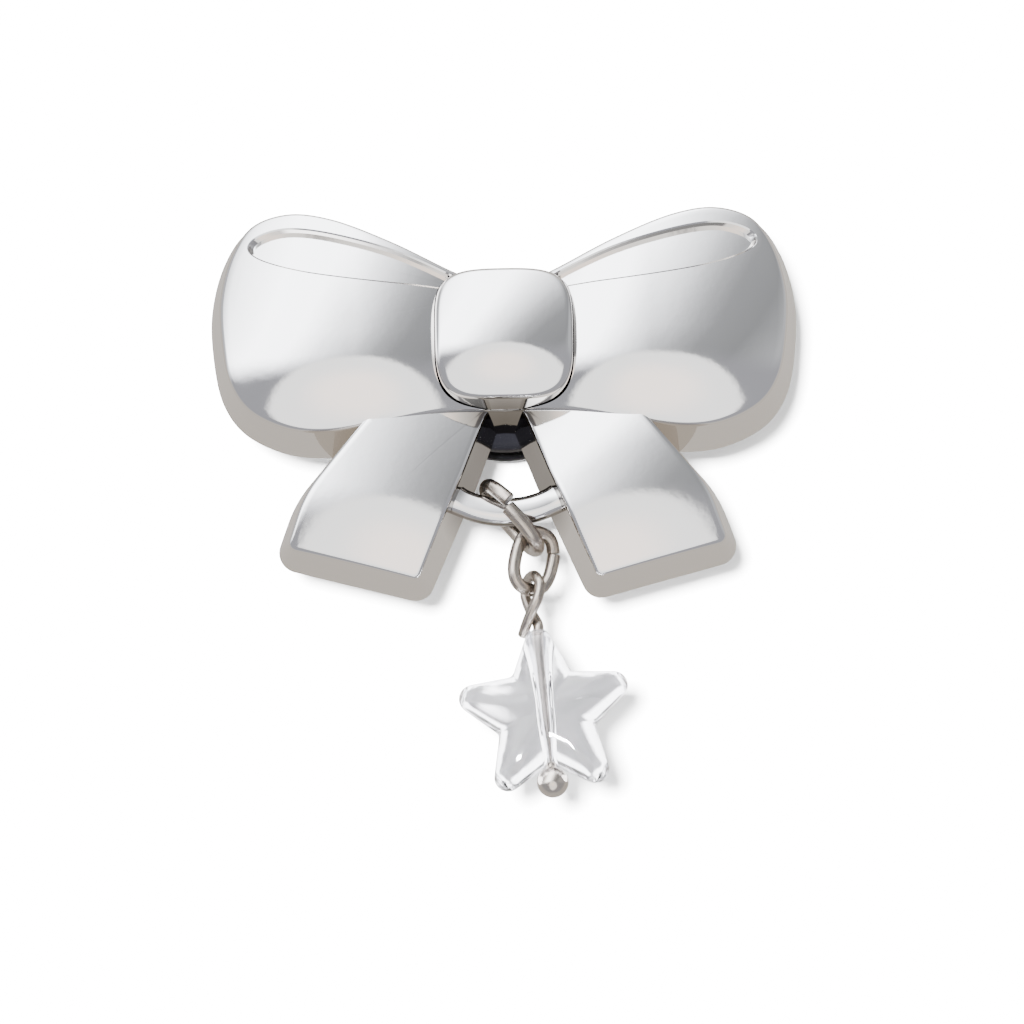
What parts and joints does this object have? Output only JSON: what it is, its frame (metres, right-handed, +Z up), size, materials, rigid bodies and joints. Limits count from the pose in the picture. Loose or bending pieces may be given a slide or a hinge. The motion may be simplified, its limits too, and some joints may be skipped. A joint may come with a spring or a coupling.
{
  "type": "shoe charm",
  "caption": "Chrome-plated bow charm with a snap-in rubber plug behind it and a clear star bead that dangles from a bar between the bow's tails on two rings and a pin.",
  "frame": {"origin": "on the plug's axis, in the plane where the plug's collar seats on the shoe", "axes": "+Z up through the bow, +Y back along the plug into the shoe, -Y out of the bow's front"},
  "size_m": [0.0378, 0.0141, 0.0388],
  "materials": {
    "plated_abs": "polished chrome plate on ABS",
    "nickel_wire": "drawn, bright plated",
    "black_rubber": "satin",
    "clear_acrylic": "clear, moulded gloss"
  },
  "bodies": {
    "charm": {"bow_shell": "plated_abs", "knot_cap": "plated_abs", "back_plate": "plated_abs", "plug": "black_rubber"},
    "upper_ring_body": {"upper_ring": "nickel_wire"},
    "lower_ring_body": {"lower_ring": "nickel_wire"},
    "pin_body": {"ball_pin": "nickel_wire"},
    "star_body": {"star_bead": "clear_acrylic"}
  },
  "joints": [
    {"name": "upper_ring_swing", "type": "hinge", "parent": "charm", "child": "upper_ring_body", "pos_m": [0.0003, -0.004, -0.01078], "axis": [1, 0, 0], "range_deg": [-60, 30]},
    {"name": "lower_ring_swing", "type": "hinge", "parent": "upper_ring_body", "child": "lower_ring_body", "pos_m": [0.00183, -0.00372, -0.01314], "axis": [-0.1564, 0.9877, 0], "range_deg": [-30, 30]},
    {"name": "pin_swing", "type": "hinge", "parent": "lower_ring_body", "child": "pin_body", "pos_m": [0.00154, -0.00357, -0.01579], "axis": [0.9063, 0.4226, 0], "range_deg": [-45, 45]},
    {"name": "star_spin", "type": "hinge", "parent": "pin_body", "child": "star_body", "pos_m": [0.00223, -0.00413, -0.02392], "axis": [0.0835, -0.0695, -0.9941], "continuous": true}
  ]
}
